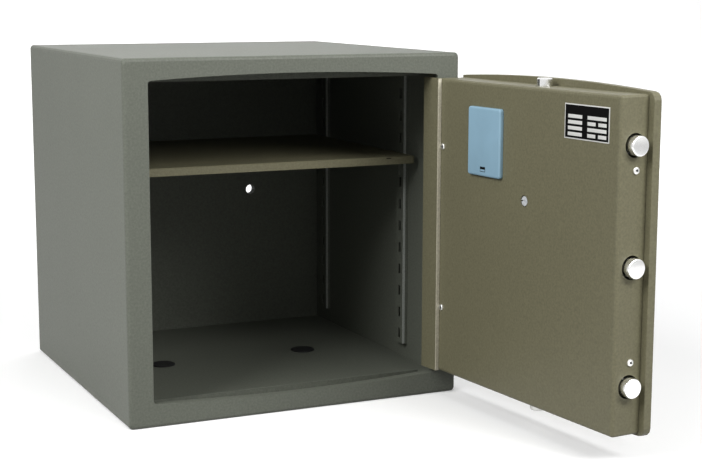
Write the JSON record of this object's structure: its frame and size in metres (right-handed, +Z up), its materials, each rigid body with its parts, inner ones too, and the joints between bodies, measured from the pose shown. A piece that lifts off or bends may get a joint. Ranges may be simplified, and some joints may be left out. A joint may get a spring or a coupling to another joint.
{
  "type": "safe",
  "caption": "Compact steel safe with an open bowed-edge door, round locking bolts thrown by a lever, a keypad, a battery compartment and a shelf on slotted rails.",
  "frame": {"origin": "middle of the underside of the body", "axes": "+Z up, the front with the door faces -Y, the door is hung on the +X side"},
  "size_m": [0.4509, 0.7204, 0.39],
  "materials": {
    "body_paint": "satin",
    "door_paint": "satin",
    "bright_steel": "polished",
    "zinc_steel": "satin",
    "black_plastic": "matte",
    "blue_plastic": "matte",
    "key_plastic": "matte",
    "cell_wrap": "satin"
  },
  "bodies": {
    "body": {"casing": "body_paint", "back_plate": "body_paint", "inner_back_panel": "body_paint", "front_frame": "body_paint", "door_stop": "body_paint", "inner_floor": "body_paint", "anchor_plug_left": "black_plastic", "anchor_plug_right": "black_plastic", "rail_left_front": "body_paint", "rail_left_rear": "body_paint", "rail_right_front": "body_paint", "rail_right_rear": "body_paint", "shelf_clip_left_front": "zinc_steel", "shelf_clip_left_rear": "zinc_steel", "shelf_clip_right_front": "zinc_steel", "shelf_clip_right_rear": "zinc_steel", "hinge_bracket_top": "door_paint", "hinge_bracket_bottom": "door_paint", "hinge_pin_top": "zinc_steel", "hinge_pin_bottom": "zinc_steel"},
    "shelf": {"shelf": "door_paint"},
    "door": {"door_plate": "door_paint", "inner_cover": "door_paint", "hinge_leaf": "door_paint", "top_bolt_guide": "zinc_steel", "bottom_bolt_guide": "zinc_steel", "carrier_stud_lower": "zinc_steel", "carrier_stud_upper": "zinc_steel", "handle_rose": "black_plastic", "battery_box": "black_plastic", "battery_cell_1": "cell_wrap", "battery_cell_2": "cell_wrap", "battery_cell_3": "cell_wrap", "battery_cell_4": "cell_wrap", "lock_module": "black_plastic", "keypad_housing": "black_plastic"},
    "handle": {"handle": "black_plastic", "handle_spindle": "zinc_steel", "cam": "zinc_steel"},
    "bolt_carrier": {"bolt_carrier": "zinc_steel", "lock_bolt_top": "bright_steel", "lock_bolt_middle": "bright_steel", "lock_bolt_bottom": "bright_steel"},
    "top_bolt": {"top_bolt": "bright_steel"},
    "bottom_bolt": {"bottom_bolt": "bright_steel"},
    "battery_cover": {"battery_cover": "blue_plastic"},
    "key_01": {"key_01": "key_plastic"},
    "key_02": {"key_02": "key_plastic"},
    "key_03": {"key_03": "key_plastic"},
    "key_04": {"key_04": "key_plastic"},
    "key_05": {"key_05": "key_plastic"},
    "key_06": {"key_06": "key_plastic"},
    "key_07": {"key_07": "key_plastic"},
    "key_08": {"key_08": "key_plastic"},
    "key_09": {"key_09": "key_plastic"},
    "key_10": {"key_10": "key_plastic"},
    "key_11": {"key_11": "key_plastic"},
    "key_12": {"key_12": "key_plastic"}
  },
  "joints": [
    {"name": "door_hinge", "type": "hinge", "parent": "body", "child": "door", "pos_m": [0.183, -0.173, 0.196], "axis": [0, 0, 1], "range_deg": [-94.7, 4]},
    {"name": "handle_turn", "type": "hinge", "parent": "door", "child": "handle", "pos_m": [0.22315, -0.3624, 0.2442], "axis": [0.9966, 0.0819, 0], "range_deg": [0, 60]},
    {"name": "carrier_slide", "type": "slide", "parent": "door", "child": "bolt_carrier", "axis": [0.0819, -0.9966, 0], "range_m": [0, 0.018]},
    {"name": "top_bolt_slide", "type": "slide", "parent": "door", "child": "top_bolt", "axis": [0, 0, 1], "range_m": [0, 0.013]},
    {"name": "bottom_bolt_slide", "type": "slide", "parent": "door", "child": "bottom_bolt", "axis": [0, 0, -1], "range_m": [0, 0.013]},
    {"name": "battery_cover_swing", "type": "hinge", "parent": "door", "child": "battery_cover", "pos_m": [0.17155, -0.29731, 0.3362], "axis": [-0.0819, 0.9966, 0], "range_deg": [0, 85]},
    {"name": "shelf_lift", "type": "slide", "parent": "body", "child": "shelf", "axis": [0, 0, 1], "range_m": [0, 0.02]},
    {"name": "key_01_press", "type": "slide", "parent": "door", "child": "key_01", "axis": [-0.9966, -0.0819, 0], "range_m": [0, 0.0014], "stiffness_N_per_m": 600},
    {"name": "key_02_press", "type": "slide", "parent": "door", "child": "key_02", "axis": [-0.9966, -0.0819, 0], "range_m": [0, 0.0014], "stiffness_N_per_m": 600},
    {"name": "key_03_press", "type": "slide", "parent": "door", "child": "key_03", "axis": [-0.9966, -0.0819, 0], "range_m": [0, 0.0014], "stiffness_N_per_m": 600},
    {"name": "key_04_press", "type": "slide", "parent": "door", "child": "key_04", "axis": [-0.9966, -0.0819, 0], "range_m": [0, 0.0014], "stiffness_N_per_m": 600},
    {"name": "key_05_press", "type": "slide", "parent": "door", "child": "key_05", "axis": [-0.9966, -0.0819, 0], "range_m": [0, 0.0014], "stiffness_N_per_m": 600},
    {"name": "key_06_press", "type": "slide", "parent": "door", "child": "key_06", "axis": [-0.9966, -0.0819, 0], "range_m": [0, 0.0014], "stiffness_N_per_m": 600},
    {"name": "key_07_press", "type": "slide", "parent": "door", "child": "key_07", "axis": [-0.9966, -0.0819, 0], "range_m": [0, 0.0014], "stiffness_N_per_m": 600},
    {"name": "key_08_press", "type": "slide", "parent": "door", "child": "key_08", "axis": [-0.9966, -0.0819, 0], "range_m": [0, 0.0014], "stiffness_N_per_m": 600},
    {"name": "key_09_press", "type": "slide", "parent": "door", "child": "key_09", "axis": [-0.9966, -0.0819, 0], "range_m": [0, 0.0014], "stiffness_N_per_m": 600},
    {"name": "key_10_press", "type": "slide", "parent": "door", "child": "key_10", "axis": [-0.9966, -0.0819, 0], "range_m": [0, 0.0014], "stiffness_N_per_m": 600},
    {"name": "key_11_press", "type": "slide", "parent": "door", "child": "key_11", "axis": [-0.9966, -0.0819, 0], "range_m": [0, 0.0014], "stiffness_N_per_m": 600},
    {"name": "key_12_press", "type": "slide", "parent": "door", "child": "key_12", "axis": [-0.9966, -0.0819, 0], "range_m": [0, 0.0014], "stiffness_N_per_m": 600}
  ],
  "couplings": [
    {"joint": "carrier_slide", "follows": "handle_turn", "m_per_rad": 0.017189},
    {"joint": "top_bolt_slide", "follows": "handle_turn", "m_per_rad": 0.012414},
    {"joint": "bottom_bolt_slide", "follows": "handle_turn", "m_per_rad": 0.012414}
  ]
}
